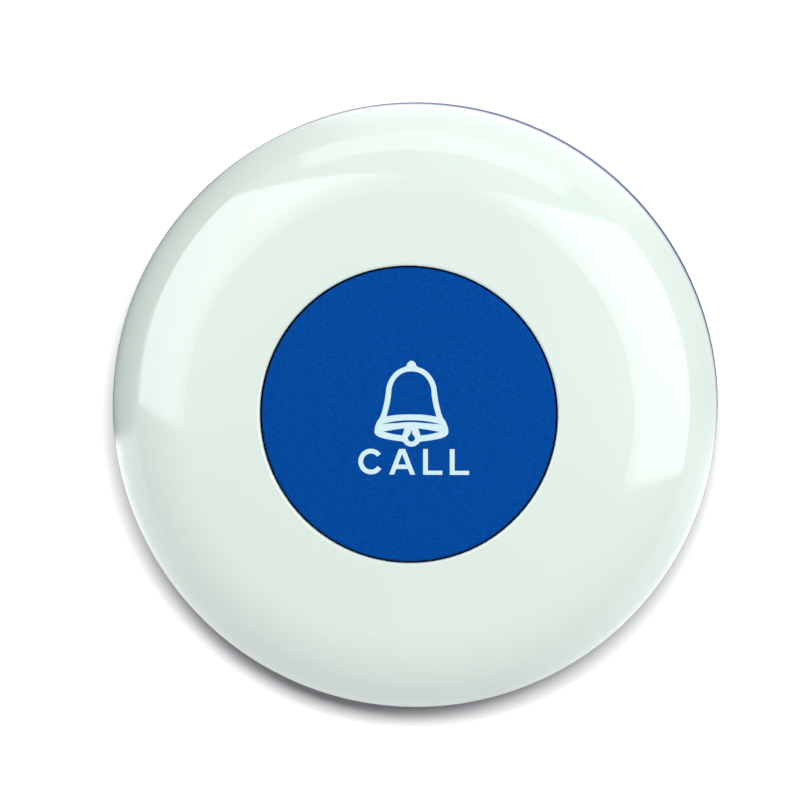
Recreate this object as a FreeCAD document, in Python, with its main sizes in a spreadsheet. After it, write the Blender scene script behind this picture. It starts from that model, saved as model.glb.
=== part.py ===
"""A round wireless call button: a glossy domed cover, a round push cap in its middle and a flat base.

The button lies on its foam pad with the cap upwards. The origin is the middle of the pad's
underside, +Z points up through the cap and +Y is the way that the top of the cap's symbol points.
Every length is in millimetres.
"""

import FreeCAD, Part
import math
import os
import Sketcher

SIZES = {
    # outside form
    "case_radius": 30.0,  # cover and base
    "base_height": 4.0,  # from the base's underside to the joint with the cover
    "rim_height": 0.6,  # straight wall at the foot of the cover
    "shoulder_radius": 9.0,  # the cover's round shoulder
    "crown_radius": 200.0,  # the nearly flat top of the cover
    "cover_wall": 2.0,
    "joint_round": 0.25,  # both edges at the joint, which make the parting line
    "hole_round": 0.25,  # the cover's edge round the cap
    "base_round": 0.6,  # lower outside edge of the base
    # push cap
    "cap_radius": 14.4,
    "cap_gap": 0.18,  # all round, between the cap and its hole
    "cap_recess": 0.15,  # the cap's edge below the cover's edge
    "cap_crown": 0.35,  # rise of the cap's middle over its edge
    "cap_round": 0.25,
    "cap_wall": 1.6,
    "cap_travel": 0.5,
    "skirt_wall": 1.2,
    "skirt_depth": 1.7,
    "collar_wall": 1.6,  # sleeve under the cover that guides the cap
    "collar_depth": 3.7,
    "tab_angle": 22.0,  # width of each retaining tab, in degrees
    "tab_reach": 0.65,  # how far a tab reaches under the collar
    "tab_height": 1.2,
    "tab_lead": 0.5,  # sloped lower edge of a tab
    "tab_gap": 0.05,
    "key_width": 1.6,  # ribs that keep the cap from turning
    "key_reach": 0.7,
    "key_height": 1.3,
    "key_gap": 0.2,
    "push_post_radius": 2.0,
    "cap_rib_width": 1.0,
    "cap_rib_depth": 0.7,
    "clip_on_count": 3,  # tabs, keys and case screws each come in threes
    # base
    "floor_wall": 1.6,
    "lip_gap": 0.15,
    "lip_wall": 1.6,  # upright ring of the base, inside the cover's wall
    "lip_height": 1.9,
    "seal_cord_radius": 0.5,
    "seal_groove_depth": 0.95,
    "seal_groove_gap": 0.05,  # over and under the seal
    "seal_land": 0.4,  # from the joint up to the groove
    "foam_radius": 17.0,
    "foam_thickness": 1.2,
    "foam_proud": 0.5,
    "foam_gap": 0.2,
    "tower_radius": 3.6,
    "tower_drop": 0.1,  # top of the screw towers below the joint
    "floor_rib_width": 1.2,
    "floor_rib_drop": 0.5,
    "floor_rib_inside": 13.0,
    # case screws
    "boss_radius": 2.75,
    "boss_gap": 0.5,  # between a screw boss and the lip
    "gusset_width": 1.2,
    "gusset_gap": 0.4,
    "case_screw_radius": 1.3,
    "case_screw_length": 8.0,
    "case_head_radius": 2.3,
    "case_head_height": 1.7,
    "case_head_round": 0.8,
    "case_seat_depth": 2.1,  # of the screw heads in the base
    "screw_head_gap": 0.3,
    "screw_hole_gap": 0.15,
    "thread_gap": 0.03,
    "pilot_spare": 0.5,  # depth of a blind hole past the screw's end
    "slot_width": 0.6,  # cross recess in each screw head
    "slot_length": 2.4,
    "slot_depth": 0.8,
    # circuit board and what holds it
    "board_lip_gap": 2.25,  # between the board's edge and the lip
    "board_thickness": 1.2,
    "board_gap": 0.4,  # round the screw bosses
    "post_inset": 4.5,  # from the board's edge to the middle of a post
    "post_radius": 2.0,
    "board_screw_radius": 0.9,
    "board_screw_length": 5.0,
    "board_head_radius": 1.8,
    "board_head_height": 1.1,
    "board_head_round": 0.5,
    # battery
    "cell_radius": 10.0,
    "cell_thickness": 3.2,
    "cell_lid_radius": 8.9,
    "cell_lid_height": 0.3,
    "cell_edge": 0.35,
    "contact_radius": 7.5,
    "contact_thickness": 0.2,
    "clip_thickness": 0.3,
    "clip_width": 12.0,
    "clip_foot": 2.0,
    "clip_floor_gap": 0.6,
    "clip_side_gap": 0.1,
    "finger_slot_width": 0.8,
    "finger_slot_length": 12.0,
    "finger_width": 3.0,
    # push switch
    "switch_width": 6.0,
    "switch_height": 3.2,
    "switch_bevel": 0.5,
    "switch_well_radius": 2.35,
    "plate_width": 5.8,
    "plate_thickness": 0.3,
    "stake_radius": 0.45,
    "stake_spacing": 4.5,
    "stake_proud": 0.15,
    "stem_radius": 1.7,
    "stem_spare": 0.3,  # of the stem, still above the plate when it is pressed
    "stem_gap": 0.15,
    "flange_radius": 2.15,
    "flange_thickness": 0.45,
    "flange_gap": 0.05,
    "nub_radius": 0.7,
    "nub_spare": 0.15,  # length of the nub past the travel
    "dome_radius": 2.0,
    "dome_spare": 0.1,  # rise of the dome past the travel
    "dome_thickness": 0.12,
    "dome_gap": 0.05,
    "lead_width": 0.7,
    "lead_thickness": 0.2,
    "lead_spacing": 4.5,
    "lead_foot": 1.6,
    "lead_rise": 0.8,
    # radio parts on the board
    "chip_length": 4.9,
    "chip_width": 3.9,
    "chip_height": 1.5,
    "chip_lift": 0.1,
    "chip_x": 8.2,
    "chip_y": 4.6,
    "chip_pitch": 1.27,
    "chip_lead_width": 0.42,
    "chip_lead_thickness": 0.2,
    "chip_lead_reach": 1.0,
    "chip_lead_foot": 0.5,
    "chip_lead_level": 0.8,
    "chip_lead_count": 4,
    "resonator_width": 5.0,
    "resonator_base": 0.9,
    "resonator_lid": 0.5,
    "resonator_lid_inset": 0.35,
    "resonator_x": 7.4,
    "resonator_y": 5.4,
    "transistor_length": 2.9,
    "transistor_width": 1.3,
    "transistor_height": 1.0,
    "transistor_x": 8.4,
    "transistor_y": 1.6,
    "transistor_leg_reach": 0.6,
    "transistor_leg_width": 0.4,
    "transistor_leg_height": 0.15,
    "transistor_leg_spacing": 1.9,
    "lamp_length": 3.5,
    "lamp_width": 2.8,
    "lamp_height": 1.9,
    "lamp_well_radius": 1.2,
    "lamp_well_depth": 0.7,
    "lamp_inset": 7.5,  # from the board's edge
    "lamp_y": 9.5,
    "passive_length": 2.0,
    "passive_width": 1.25,
    "resistor_height": 0.55,
    "capacitor_height": 0.9,
    "passive_pitch": 2.4,
    "passive_count": 3,
    "resistor_x": 8.0,
    "resistor_y": 4.0,
    "capacitor_x": 8.2,
    "capacitor_y": 4.4,
    "antenna_inset": 2.2,  # from the board's edge
    "antenna_wire_radius": 0.4,
    "antenna_angle": 90.0,
    "antenna_lift": 1.5,
    "antenna_bend": 0.8,
}


class Size:
    """A length with two forms: its number, and the formula on the sheet that gives the number."""

    def __init__(self, value, formula):
        self.value = value
        self.formula = formula

    def __add__(self, other):
        other = size(other)
        return Size(self.value + other.value, f"({self.formula} + {other.formula})")

    def __sub__(self, other):
        other = size(other)
        return Size(self.value - other.value, f"({self.formula} - {other.formula})")

    def __mul__(self, other):
        other = size(other)
        return Size(self.value * other.value, f"({self.formula} * {other.formula})")

    def __truediv__(self, other):
        other = size(other)
        return Size(self.value / other.value, f"({self.formula} / {other.formula})")

    def __neg__(self):
        return Size(-self.value, f"(-1 * {self.formula})")


def size(number):
    """A plain number as a Size. A Size stays as it is."""
    return number if isinstance(number, Size) else Size(float(number), repr(number))


def root(number):
    return Size(math.sqrt(number.value), f"sqrt({number.formula})")


def cosine(degrees):
    return Size(math.cos(math.radians(degrees.value)), f"cos({degrees.formula})")


def sine(degrees):
    return Size(math.sin(math.radians(degrees.value)), f"sin({degrees.formula})")


def reach(radius, across):
    """The other side of a right triangle: how far along a circle is at a place across it."""
    return root(radius * radius - across * across)


doc = FreeCAD.newDocument("call_button")
sheet = doc.addObject("Spreadsheet::Sheet", "sizes")
for row, (alias, number) in enumerate(SIZES.items(), start=1):
    sheet.set(f"A{row}", alias)
    sheet.set(f"B{row}", str(number))
    sheet.setAlias(f"B{row}", alias)
doc.recompute()


def cell(alias):
    return Size(float(sheet.get(alias)), f"sizes.{alias}")


# heights of the main faces, from the foam pad up
base_z = cell("foam_proud")
floor_z = base_z + cell("floor_wall")
joint_z = base_z + cell("base_height")
equator_z = joint_z + cell("rim_height")
shoulder_x = cell("case_radius") - cell("shoulder_radius")
crown_z = equator_z - reach(cell("crown_radius") - cell("shoulder_radius"), shoulder_x)
crest_z = crown_z + cell("crown_radius")
tower_z = joint_z - cell("tower_drop")
screw_seat_z = base_z + cell("case_seat_depth")
lip_top_z = joint_z + cell("lip_height")

clip_z = floor_z + cell("clip_floor_gap")
cell_z = clip_z + cell("clip_thickness")
contact_z = cell_z + cell("cell_thickness")
board_z = contact_z + cell("contact_thickness")
board_top_z = board_z + cell("board_thickness")
plate_z = board_top_z + cell("switch_height")
plate_top_z = plate_z + cell("plate_thickness")
stem_top_z = plate_top_z + cell("stem_spare") + cell("cap_travel")

# the switch's inside, from the plate down
flange_top_z = plate_z - cell("flange_gap")
flange_z = flange_top_z - cell("flange_thickness")
nub_z = flange_z - cell("nub_spare") - cell("cap_travel")
dome_top_z = nub_z - cell("dome_gap")
dome_height = cell("cap_travel") + cell("dome_spare")
well_floor_z = dome_top_z - dome_height

# places across the button
hole_radius = cell("cap_radius") + cell("cap_gap")
collar_radius = hole_radius + cell("collar_wall")
inner_radius = cell("case_radius") - cell("cover_wall")
lip_outer = inner_radius - cell("lip_gap")
lip_inner = lip_outer - cell("lip_wall")
skirt_radius = cell("cap_radius") - cell("skirt_wall")
boss_circle = lip_inner - cell("boss_gap") - cell("boss_radius")
board_radius = lip_inner - cell("board_lip_gap")
post_circle = board_radius - cell("post_inset")
lamp_x = cell("lamp_inset") - board_radius

# heights that follow the cap and its hole
hole_edge_z = crown_z + reach(cell("crown_radius"), hole_radius)
cap_edge_z = hole_edge_z - cell("cap_recess")
cap_under_z = cap_edge_z - cell("cap_wall")
skirt_z = cap_under_z - cell("skirt_depth")
collar_z = hole_edge_z - cell("collar_depth")
tab_top_z = collar_z - cell("tab_gap")
tab_z = tab_top_z - cell("tab_height")

TRIM = size(1)  # how far a cutting outline runs past the material that it cuts


def new_body(label):
    body = doc.addObject("PartDesign::Body", label)
    body.Label = label
    return body


def origin_feature(body, role):
    return next(part for part in body.Origin.OriginFeatures if part.Role == role)


def new_sketch(body, name, plane, offset=None, turn=None):
    """A sketch on an origin plane, moved along the plane's normal or turned about its y axis."""
    sketch = body.newObject("Sketcher::SketchObject", name)
    sketch.AttachmentSupport = (origin_feature(body, plane + "_Plane"), [""])
    sketch.MapMode = "FlatFace"
    if offset is not None:
        sketch.setExpression("AttachmentOffset.Base.z", offset.formula)
    if turn is not None:
        turned = FreeCAD.Rotation(FreeCAD.Vector(0, 1, 0), turn.value)
        sketch.AttachmentOffset = FreeCAD.Placement(FreeCAD.Vector(), turned)
        sketch.setExpression("AttachmentOffset.Rotation.Angle", turn.formula)
    return sketch


def hold(sketch, kind, place, length):
    """Adds a dimension to a sketch and ties it to the sheet."""
    index = sketch.addConstraint(Sketcher.Constraint(kind, *place, length.value))
    sketch.setExpression(f"Constraints[{index}]", length.formula)


def pin(sketch, curve, end, x, y):
    """Holds one point of a curve at x, y of the sketch."""
    for kind, axis, length in (("DistanceX", -2, x), ("DistanceY", -1, y)):
        if abs(length.value) < 1e-9:
            sketch.addConstraint(Sketcher.Constraint("PointOnObject", curve, end, axis))
        elif length.value > 0:
            hold(sketch, kind, (-1, 1, curve, end), length)
        else:
            hold(sketch, kind, (curve, end, -1, 1), -length)


def arc_between(start, end, radius, side):
    """An arc of under a half circle with its centre on the left or the right of the way."""
    way = end - start
    middle = (start + end) * 0.5
    across = FreeCAD.Vector(-way.y, way.x, 0).normalize()
    lift = math.sqrt(max(radius * radius - way.Length * way.Length / 4, 0))
    centre = middle + across * (lift if side == "left" else -lift)
    first, last = (start, end) if side == "left" else (end, start)
    angles = [math.atan2(point.y - centre.y, point.x - centre.x) for point in (first, last)]
    circle = Part.Circle(centre, FreeCAD.Vector(0, 0, 1), radius)
    return Part.ArcOfCircle(circle, *angles)


def outline(sketch, corners):
    """Draws a closed outline from corner to corner.

    A corner is (x, y) where a straight line ends, or (x, y, radius, side) where an arc ends, with
    its centre on that side of the way. The first corner ends the curve that closes the outline.
    """
    points = [FreeCAD.Vector(size(c[0]).value, size(c[1]).value, 0) for c in corners]
    ends = []
    for i, corner in enumerate(corners):
        if len(corner) == 2:
            curve = sketch.addGeometry(Part.LineSegment(points[i - 1], points[i]), False)
            ends.append((curve, 1, 2))
            continue
        radius, side = corner[2:]
        arc = arc_between(points[i - 1], points[i], radius.value, side)
        curve = sketch.addGeometry(arc, False)
        ends.append((curve, 1, 2) if side == "left" else (curve, 2, 1))
    for i, (curve, _, finish) in enumerate(ends):
        following, start, _ = ends[(i + 1) % len(ends)]
        sketch.addConstraint(Sketcher.Constraint("Coincident", curve, finish, following, start))
        pin(sketch, curve, finish, size(corners[i][0]), size(corners[i][1]))
        if len(corners[i]) == 4:
            hold(sketch, "Radius", (curve,), corners[i][2])
    return sketch


def rectangle(sketch, low_x, low_y, high_x, high_y):
    corners = [(low_x, low_y), (high_x, low_y), (high_x, high_y), (low_x, high_y)]
    return outline(sketch, corners)


def centred_rectangle(sketch, x, y, length, width):
    half_length = length / 2
    half_width = width / 2
    return rectangle(
        sketch, x - half_length, y - half_width, x + half_length, y + half_width
    )


def circle(sketch, x, y, radius):
    x, y = size(x), size(y)
    centre = FreeCAD.Vector(x.value, y.value, 0)
    shape = Part.Circle(centre, FreeCAD.Vector(0, 0, 1), radius.value)
    curve = sketch.addGeometry(shape, False)
    if x.value == 0 and y.value == 0:
        sketch.addConstraint(Sketcher.Constraint("Coincident", curve, 3, -1, 1))
    else:
        pin(sketch, curve, 3, x, y)
    hold(sketch, "Radius", (curve,), radius)
    return sketch


def add_feature(body, kind, name, sketch):
    feature = body.newObject("PartDesign::" + kind, name)
    feature.Profile = sketch
    return feature


def finish_cut(body, feature, before):
    """Recomputes a cut and makes sure that it took material away."""
    doc.recompute()
    if not body.Shape.Volume < before - 1e-6:
        raise RuntimeError(f"{feature.Name} cuts nothing")
    return feature


def revolve(body, name, sketch, axis=None, angle=None):
    feature = add_feature(body, "Revolution", name, sketch)
    feature.ReferenceAxis = axis or (origin_feature(body, "Z_Axis"), [""])
    feature.Angle = 360
    if angle is not None:
        feature.Midplane = True
        feature.setExpression("Angle", angle.formula)
    doc.recompute()
    return feature


def groove(body, name, sketch):
    before = body.Shape.Volume
    feature = add_feature(body, "Groove", name, sketch)
    feature.ReferenceAxis = (origin_feature(body, "Z_Axis"), [""])
    feature.Angle = 360
    return finish_cut(body, feature, before)


def pad(body, name, sketch, length, both_ways=False):
    feature = add_feature(body, "Pad", name, sketch)
    feature.setExpression("Length", length.formula)
    feature.Midplane = both_ways
    doc.recompute()
    return feature


def pocket(body, name, sketch, depth, upwards=False, both_ways=False):
    before = body.Shape.Volume
    feature = add_feature(body, "Pocket", name, sketch)
    feature.setExpression("Length", depth.formula)
    feature.Reversed = upwards
    feature.Midplane = both_ways
    return finish_cut(body, feature, before)


def around(body, name, features, count):
    """Repeats features round the Z axis."""
    pattern = body.newObject("PartDesign::PolarPattern", name)
    pattern.Originals = features
    pattern.Axis = (origin_feature(body, "Z_Axis"), [""])
    pattern.Angle = 360
    pattern.setExpression("Occurrences", count.formula)
    body.Tip = pattern
    doc.recompute()
    return pattern


def along(body, name, features, axis, count, length):
    """Repeats features in a row, where length is from the first to the last."""
    pattern = body.newObject("PartDesign::LinearPattern", name)
    pattern.Originals = features
    pattern.Direction = (origin_feature(body, axis + "_Axis"), [""])
    pattern.setExpression("Occurrences", count.formula)
    pattern.setExpression("Length", length.formula)
    body.Tip = pattern
    doc.recompute()
    return pattern


def mirror(body, name, features, plane):
    mirrored = body.newObject("PartDesign::Mirrored", name)
    mirrored.Originals = features
    mirrored.MirrorPlane = (origin_feature(body, plane + "_Plane"), [""])
    body.Tip = mirrored
    doc.recompute()
    return mirrored


def fillet_rings(body, name, radius, rings):
    """Rounds the circular edges about the Z axis that have the given radii and heights."""
    names = []
    for number, edge in enumerate(body.Shape.Edges, start=1):
        if edge.Degenerated or not isinstance(edge.Curve, Part.Circle):
            continue
        centre = edge.Curve.Center
        for ring_radius, height in rings:
            on_axis = math.hypot(centre.x, centre.y) < 1e-4
            same_size = abs(edge.Curve.Radius - ring_radius.value) < 1e-4
            if on_axis and same_size and abs(centre.z - height.value) < 1e-4:
                names.append(f"Edge{number}")
    sharp = body.Tip
    feature = body.newObject("PartDesign::Fillet", name)
    feature.Base = (sharp, names)
    feature.setExpression("Radius", radius.formula)
    body.Tip = feature
    doc.recompute()
    return feature


def make_cover():
    """The domed cover: a shell with a guiding collar, three screw bosses and two board posts.

    It starts as a thick block with the hollow already in it, so that bosses, posts and gussets
    run up into the block. The dome's outside is turned last and trims them all at once.
    """
    body = new_body("top_cover")
    wall = cell("cover_wall")
    crown, shoulder = cell("crown_radius"), cell("shoulder_radius")
    block_z = crest_z + TRIM
    swing = crown - shoulder
    rise = equator_z - crown_z

    def along_normal(radius):
        """Where the crown and the shoulder meet, on the surface with this crown radius."""
        return shoulder_x * radius / swing, crown_z + rise * radius / swing

    inner_x, inner_z = along_normal(crown - wall)
    block = [
        (hole_radius, block_z),
        (hole_radius, collar_z),
        (collar_radius, collar_z),
        (collar_radius, crown_z + reach(crown - wall, collar_radius)),
        (inner_x, inner_z, crown - wall, "right"),
        (inner_radius, equator_z, shoulder - wall, "right"),
        (inner_radius, joint_z),
        (cell("case_radius") + TRIM, joint_z),
        (cell("case_radius") + TRIM, block_z),
    ]
    revolve(body, "hollow_block", outline(new_sketch(body, "hollow_outline", "XZ"), block))

    boss_sketch = circle(
        new_sketch(body, "boss_outline", "XY", tower_z),
        -boss_circle, 0, cell("boss_radius"),
    )
    boss = pad(body, "screw_boss", boss_sketch, crest_z - tower_z)
    gusset_z = lip_top_z + cell("gusset_gap")
    half_gusset = cell("gusset_width") / 2
    gusset_sketch = rectangle(
        new_sketch(body, "gusset_outline", "XY", gusset_z),
        wall / 2 - cell("case_radius"), -half_gusset, -boss_circle, half_gusset,
    )
    gusset = pad(body, "boss_gusset", gusset_sketch, crest_z - gusset_z)
    around(body, "three_bosses", [boss, gusset], cell("clip_on_count"))

    post_sketch = circle(
        new_sketch(body, "post_outline", "XY", board_top_z),
        0, post_circle, cell("post_radius"),
    )
    post = pad(body, "board_post", post_sketch, crest_z - board_top_z)
    mirror(body, "two_posts", [post], "XZ")

    outer_x, outer_z = along_normal(crown)
    past_rim = cell("case_radius") + TRIM * 2
    dome = [
        (cell("case_radius"), joint_z - TRIM),
        (cell("case_radius"), equator_z),
        (outer_x, outer_z, shoulder, "left"),
        (hole_radius, hole_edge_z, crown, "left"),
        (hole_radius, block_z + TRIM),
        (past_rim, block_z + TRIM),
        (past_rim, joint_z - TRIM),
    ]
    groove(body, "dome_turning", outline(new_sketch(body, "dome_outline", "XZ"), dome))

    pilot_radius = cell("case_screw_radius") + cell("thread_gap")
    pilot_sketch = circle(
        new_sketch(body, "pilot_outline", "XY", tower_z),
        -boss_circle, 0, pilot_radius,
    )
    pilot_depth = (
        screw_seat_z + cell("case_screw_length") + cell("pilot_spare") - tower_z
    )
    pilot = pocket(body, "screw_pilot", pilot_sketch, pilot_depth, upwards=True)
    keyway_width = cell("key_width") / 2 + cell("key_gap")
    keyway_sketch = rectangle(
        new_sketch(body, "keyway_outline", "XY", collar_z),
        -cell("cap_radius") - cell("key_reach") - cell("key_gap"), -keyway_width,
        TRIM - hole_radius, keyway_width,
    )
    keyway_depth = skirt_z + cell("key_height") + cell("key_gap") - collar_z
    keyway = pocket(body, "collar_keyway", keyway_sketch, keyway_depth, upwards=True)
    around(body, "three_pilots_and_keyways", [pilot, keyway], cell("clip_on_count"))

    post_pilot_sketch = circle(
        new_sketch(body, "post_pilot_outline", "XY", board_top_z),
        0, post_circle, cell("board_screw_radius") + cell("thread_gap"),
    )
    post_depth = board_z + cell("board_screw_length") + cell("pilot_spare") - board_top_z
    post_pilot = pocket(body, "post_pilot", post_pilot_sketch, post_depth, upwards=True)
    mirror(body, "two_post_pilots", [post_pilot], "XZ")

    fillet_rings(body, "hole_edge", cell("hole_round"), [(hole_radius, hole_edge_z)])
    fillet_rings(body, "joint_edge", cell("joint_round"), [(cell("case_radius"), joint_z)])
    return body


def make_base():
    """The base: a shallow dish with an upright lip, screw towers and a recess for the foam pad."""
    body = new_body("base")
    groove_low = joint_z + cell("seal_land")
    groove_high = groove_low + (cell("seal_cord_radius") + cell("seal_groove_gap")) * 2
    groove_radius = lip_outer - cell("seal_groove_depth")
    dish = [
        (0, floor_z),
        (0, base_z),
        (cell("case_radius"), base_z),
        (cell("case_radius"), joint_z),
        (lip_outer, joint_z),
        (lip_outer, groove_low),
        (groove_radius, groove_low),
        (groove_radius, groove_high),
        (lip_outer, groove_high),
        (lip_outer, lip_top_z),
        (lip_inner, lip_top_z),
        (lip_inner, floor_z),
    ]
    revolve(body, "dish", outline(new_sketch(body, "dish_outline", "XZ"), dish))

    middle_z = (base_z + floor_z) / 2
    tower_sketch = circle(
        new_sketch(body, "tower_outline", "XY", middle_z),
        -boss_circle, 0, cell("tower_radius"),
    )
    tower = pad(body, "screw_tower", tower_sketch, tower_z - middle_z)
    half_rib = cell("floor_rib_width") / 2
    rib_sketch = rectangle(
        new_sketch(body, "rib_outline", "XY", middle_z),
        -boss_circle, -half_rib, -cell("floor_rib_inside"), half_rib,
    )
    rib = pad(body, "floor_rib", rib_sketch, tower_z - cell("floor_rib_drop") - middle_z)
    around(body, "three_towers", [tower, rib], cell("clip_on_count"))

    seat_sketch = circle(
        new_sketch(body, "seat_outline", "XY", base_z),
        -boss_circle, 0, cell("case_head_radius") + cell("screw_head_gap"),
    )
    seat = pocket(body, "screw_seat", seat_sketch, cell("case_seat_depth"), upwards=True)
    hole_sketch = circle(
        new_sketch(body, "screw_hole_outline", "XY", screw_seat_z),
        -boss_circle, 0, cell("case_screw_radius") + cell("screw_hole_gap"),
    )
    hole = pocket(
        body, "screw_hole", hole_sketch, tower_z + TRIM - screw_seat_z, upwards=True
    )
    around(body, "three_seats", [seat, hole], cell("clip_on_count"))

    recess_sketch = circle(
        new_sketch(body, "recess_outline", "XY", base_z),
        0, 0, cell("foam_radius") + cell("foam_gap"),
    )
    recess_depth = cell("foam_thickness") - base_z
    pocket(body, "foam_recess", recess_sketch, recess_depth, upwards=True)

    fillet_rings(body, "foot_edge", cell("base_round"), [(cell("case_radius"), base_z)])
    fillet_rings(body, "joint_edge", cell("joint_round"), [(cell("case_radius"), joint_z)])
    return body


def make_cap():
    """The push cap: a crowned disc with a skirt, three retaining tabs and three guide keys.

    It goes into the cover from inside. The tabs stop it under the collar, the keys run in the
    collar's keyways and keep the symbol upright, and the post in the middle pushes the switch.
    """
    body = new_body("button_cap")
    radius = cell("cap_radius")
    crown_rise = cell("cap_crown")
    crown = (radius * radius + crown_rise * crown_rise) / (crown_rise * 2)
    disc = [
        (0, cap_edge_z + crown_rise, crown, "left"),
        (0, cap_under_z),
        (skirt_radius, cap_under_z),
        (skirt_radius, skirt_z),
        (radius, skirt_z),
        (radius, cap_edge_z),
    ]
    revolve(body, "disc", outline(new_sketch(body, "disc_outline", "XZ"), disc))

    tab_edge = hole_radius + cell("tab_reach")
    tab_profile = [
        (skirt_radius, cap_under_z + cell("cap_wall") / 2),
        (skirt_radius, tab_z),
        (radius, tab_z),
        (tab_edge, tab_z + cell("tab_lead")),
        (tab_edge, tab_top_z),
        (radius, tab_top_z),
        (radius, cap_under_z + cell("cap_wall") / 2),
    ]
    tab_sketch = outline(new_sketch(body, "tab_outline", "XZ"), tab_profile)
    tab = revolve(body, "retaining_tab", tab_sketch, angle=cell("tab_angle"))
    around(body, "three_tabs", [tab], cell("clip_on_count"))

    half_key = cell("key_width") / 2
    key_sketch = rectangle(
        new_sketch(body, "key_outline", "XY", skirt_z),
        -radius - cell("key_reach"), -half_key, -(radius + skirt_radius) / 2, half_key,
    )
    key = pad(body, "guide_key", key_sketch, cell("key_height"))
    half_rib = cell("cap_rib_width") / 2
    rib_sketch = rectangle(
        new_sketch(body, "cap_rib_outline", "XY", cap_under_z - cell("cap_rib_depth")),
        -(radius + skirt_radius) / 2, -half_rib, 0, half_rib,
    )
    rib = pad(body, "cap_rib", rib_sketch, cell("cap_rib_depth") + cell("cap_wall") / 2)
    around(body, "three_keys_and_ribs", [key, rib], cell("clip_on_count"))

    post_sketch = circle(
        new_sketch(body, "push_post_outline", "XY", stem_top_z), 0, 0, cell("push_post_radius")
    )
    pad(body, "push_post", post_sketch, cap_under_z + cell("cap_wall") / 2 - stem_top_z)
    fillet_rings(body, "cap_edge", cell("cap_round"), [(radius, cap_edge_z)])
    return body


def make_foam_pad():
    """The adhesive foam disc in the base's recess, on which the button stands or sticks."""
    disc = doc.addObject("Part::Cylinder", "adhesive_pad")
    disc.setExpression("Radius", cell("foam_radius").formula)
    disc.setExpression("Height", cell("foam_thickness").formula)
    return disc


def make_seal():
    """The round rubber cord in the lip's groove, which closes the gap to the cover's wall."""
    cord = doc.addObject("Part::Torus", "seal_ring")
    cord_radius = cell("seal_cord_radius")
    ring_radius = lip_outer - cell("seal_groove_depth") + cord_radius
    ring_z = joint_z + cell("seal_land") + cell("seal_groove_gap") + cord_radius
    cord.setExpression("Radius1", ring_radius.formula)
    cord.setExpression("Radius2", cord_radius.formula)
    cord.setExpression("Placement.Base.z", ring_z.formula)
    return cord


def make_screw(body, axis_x, seat_z, shank, length, head, head_height, head_round):
    """One pan head screw, point upwards, on the line at axis_x of the XZ plane."""
    profile = [
        (axis_x, seat_z + length),
        (axis_x, seat_z - head_height),
        (axis_x + head - head_round, seat_z - head_height),
        (axis_x + head, seat_z - head_height + head_round, head_round, "left"),
        (axis_x + head, seat_z),
        (axis_x + shank, seat_z),
        (axis_x + shank, seat_z + length - shank),
        (axis_x + shank / 3, seat_z + length),
    ]
    sketch = outline(new_sketch(body, "screw_outline", "XZ"), profile)
    turned = revolve(body, "screw", sketch, axis=(sketch, ["Edge2"]))
    half_width = cell("slot_width") / 2
    half_length = cell("slot_length") / 2
    cuts = []
    for name, half_x, half_y in (
        ("slot_along", half_length, half_width),
        ("slot_across", half_width, half_length),
    ):
        slot = rectangle(
            new_sketch(body, name + "_outline", "XY", seat_z - head_height),
            axis_x - half_x, -half_y, axis_x + half_x, half_y,
        )
        cuts.append(pocket(body, name, slot, cell("slot_depth"), upwards=True))
    return [turned] + cuts


def make_case_screws():
    """The three screws that pull the base against the cover, heads sunk in the base."""
    body = new_body("case_screws")
    body.AllowCompound = True
    screw = make_screw(
        body, -boss_circle, screw_seat_z, cell("case_screw_radius"),
        cell("case_screw_length"), cell("case_head_radius"), cell("case_head_height"),
        cell("case_head_round"),
    )
    around(body, "three_screws", screw, cell("clip_on_count"))
    return body


def make_board_screws():
    """The two small screws that hold the circuit board against the cover's posts."""
    body = new_body("board_screws")
    body.AllowCompound = True
    screw = make_screw(
        body, post_circle, board_z, cell("board_screw_radius"),
        cell("board_screw_length"), cell("board_head_radius"), cell("board_head_height"),
        cell("board_head_round"),
    )
    mirror(body, "two_screws", screw, "YZ")
    body.Placement.Rotation = FreeCAD.Rotation(FreeCAD.Vector(0, 0, 1), 90)
    return body


def make_board():
    """The round glass fibre board, notched round the screw bosses."""
    body = new_body("circuit_board")
    disc = circle(new_sketch(body, "board_outline", "XY", board_z), 0, 0, board_radius)
    pad(body, "disc", disc, cell("board_thickness"))
    notch_sketch = circle(
        new_sketch(body, "notch_outline", "XY", board_top_z),
        -boss_circle, 0, cell("boss_radius") + cell("board_gap"),
    )
    notch = pocket(body, "boss_notch", notch_sketch, cell("board_thickness"))
    around(body, "three_notches", [notch], cell("clip_on_count"))
    hole_sketch = circle(
        new_sketch(body, "screw_hole_outline", "XY", board_top_z),
        0, post_circle, cell("board_screw_radius") + cell("screw_hole_gap"),
    )
    hole = pocket(body, "screw_hole", hole_sketch, cell("board_thickness"))
    mirror(body, "two_screw_holes", [hole], "XZ")
    return body


def make_cell():
    """The lithium coin cell, lid upwards against its contact."""
    body = new_body("coin_cell")
    lid_z = contact_z - cell("cell_lid_height")
    edge = cell("cell_edge")
    profile = [
        (0, contact_z),
        (0, cell_z),
        (cell("cell_radius") - edge, cell_z),
        (cell("cell_radius"), cell_z + edge, edge, "left"),
        (cell("cell_radius"), lid_z),
        (cell("cell_lid_radius"), lid_z),
        (cell("cell_lid_radius") - cell("cell_lid_height"), contact_z),
    ]
    revolve(body, "can", outline(new_sketch(body, "can_outline", "XZ"), profile))
    return body


def make_cell_contact():
    """The tinned disc under the board that the cell's lid presses on."""
    disc = doc.addObject("Part::Cylinder", "cell_contact")
    disc.setExpression("Radius", cell("contact_radius").formula)
    disc.setExpression("Height", cell("contact_thickness").formula)
    disc.setExpression("Placement.Base.z", contact_z.formula)
    return disc


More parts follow.
